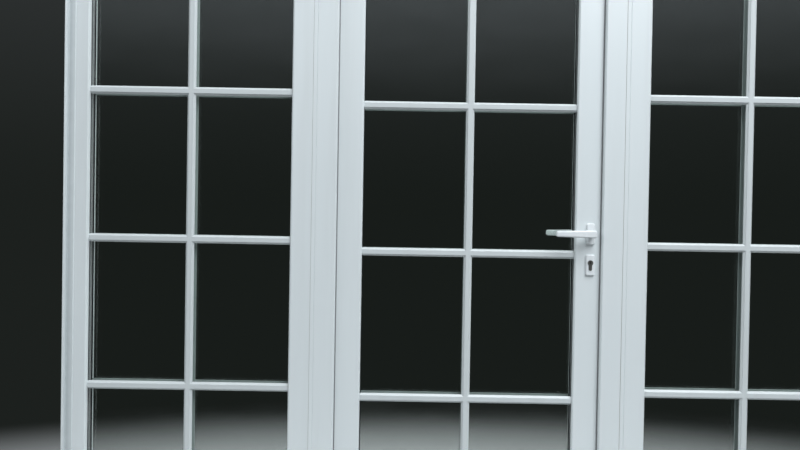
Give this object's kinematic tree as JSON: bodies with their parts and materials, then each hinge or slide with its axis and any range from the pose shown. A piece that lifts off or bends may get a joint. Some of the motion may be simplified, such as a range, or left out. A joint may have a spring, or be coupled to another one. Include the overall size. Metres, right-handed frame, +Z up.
{
  "type": "french door with sidelights",
  "caption": "White PVC-U glazed door with lever handles, hung between two fixed sidelights; double glazing with raised bars, threshold and cover trims.",
  "frame": {"origin": "middle of the threshold's underside, half way through the frame depth", "axes": "+X along the set to the right seen from outside, +Y from the outside to the room, +Z up"},
  "size_m": [2.552, 0.172, 2.144],
  "materials": {
    "white_pvcu": "satin white",
    "white_painted_metal": "white powder coat",
    "glass": "clear, double glazed",
    "spacer": "mill aluminium spacer bar",
    "gasket_rubber": "black gasket",
    "seal_rubber": "dark grey seal",
    "threshold_aluminium": "silver anodised",
    "plated_steel": "zinc plated",
    "cylinder_brass": "nickel plated"
  },
  "bodies": {
    "frame": {"left_sidelight_frame": "white_pvcu", "left_sidelight_outer_pane": "glass", "left_sidelight_inner_pane": "glass", "left_sidelight_spacer": "spacer", "left_sidelight_outer_gasket": "gasket_rubber", "left_sidelight_inner_gasket": "gasket_rubber", "left_sidelight_beads": "white_pvcu", "left_sidelight_outer_bars": "white_pvcu", "left_sidelight_inner_bars": "white_pvcu", "right_sidelight_frame": "white_pvcu", "right_sidelight_outer_pane": "glass", "right_sidelight_inner_pane": "glass", "right_sidelight_spacer": "spacer", "right_sidelight_outer_gasket": "gasket_rubber", "right_sidelight_inner_gasket": "gasket_rubber", "right_sidelight_beads": "white_pvcu", "right_sidelight_outer_bars": "white_pvcu", "right_sidelight_inner_bars": "white_pvcu", "door_frame": "white_pvcu", "left_coupling": "white_pvcu", "right_coupling": "white_pvcu", "left_cover_trim": "white_pvcu", "head_cover_trim": "white_pvcu", "right_cover_trim": "white_pvcu", "threshold": "threshold_aluminium", "frame_seal": "seal_rubber", "lock_keep": "plated_steel", "bottom_hinge_frame_leaf": "white_painted_metal", "bottom_hinge_pin": "white_painted_metal", "middle_hinge_frame_leaf": "white_painted_metal", "middle_hinge_pin": "white_painted_metal", "top_hinge_frame_leaf": "white_painted_metal", "top_hinge_pin": "white_painted_metal"},
    "leaf": {"door_sash": "white_pvcu", "door_outer_pane": "glass", "door_inner_pane": "glass", "door_spacer": "spacer", "door_outer_gasket": "gasket_rubber", "door_inner_gasket": "gasket_rubber", "door_beads": "white_pvcu", "door_outer_bars": "white_pvcu", "door_inner_bars": "white_pvcu", "sash_seal": "seal_rubber", "lock_case": "plated_steel", "lock_faceplate": "plated_steel", "outer_rose": "white_painted_metal", "inner_rose": "white_painted_metal", "outer_escutcheon": "white_painted_metal", "inner_escutcheon": "white_painted_metal", "cylinder_body": "cylinder_brass", "bottom_hinge_sash_leaf": "white_painted_metal", "middle_hinge_sash_leaf": "white_painted_metal", "top_hinge_sash_leaf": "white_painted_metal"},
    "handle": {"outer_lever": "white_painted_metal", "inner_lever": "white_painted_metal", "spindle": "plated_steel", "lock_follower": "plated_steel"},
    "latch": {"latch_bolt": "plated_steel"},
    "deadbolt": {"deadbolt": "plated_steel"},
    "cylinder": {"cylinder_core": "cylinder_brass"}
  },
  "joints": [
    {"name": "door_swing", "type": "hinge", "parent": "frame", "child": "leaf", "pos_m": [-0.458, 0.06, 1.055], "axis": [0, 0, 1], "range_deg": [0, 100]},
    {"name": "lever_turn", "type": "hinge", "parent": "leaf", "child": "handle", "pos_m": [0.388, 0.019, 1.123], "axis": [0, -1, 0], "range_deg": [0, 35], "stiffness_Nm_per_rad": 0.8, "springref_deg": -34.38},
    {"name": "latch_slide", "type": "slide", "parent": "leaf", "child": "latch", "axis": [-1, 0, 0], "range_m": [0, 0.0095]},
    {"name": "key_turn", "type": "hinge", "parent": "leaf", "child": "cylinder", "pos_m": [0.388, 0.019, 1.031], "axis": [0, -1, 0], "range_deg": [0, 360]},
    {"name": "deadbolt_slide", "type": "slide", "parent": "leaf", "child": "deadbolt", "axis": [1, 0, 0], "range_m": [0, 0.019]}
  ],
  "couplings": [
    {"joint": "latch_slide", "follows": "lever_turn", "m_per_rad": 0.015551},
    {"joint": "deadbolt_slide", "follows": "key_turn", "m_per_rad": 0.0030239}
  ]
}
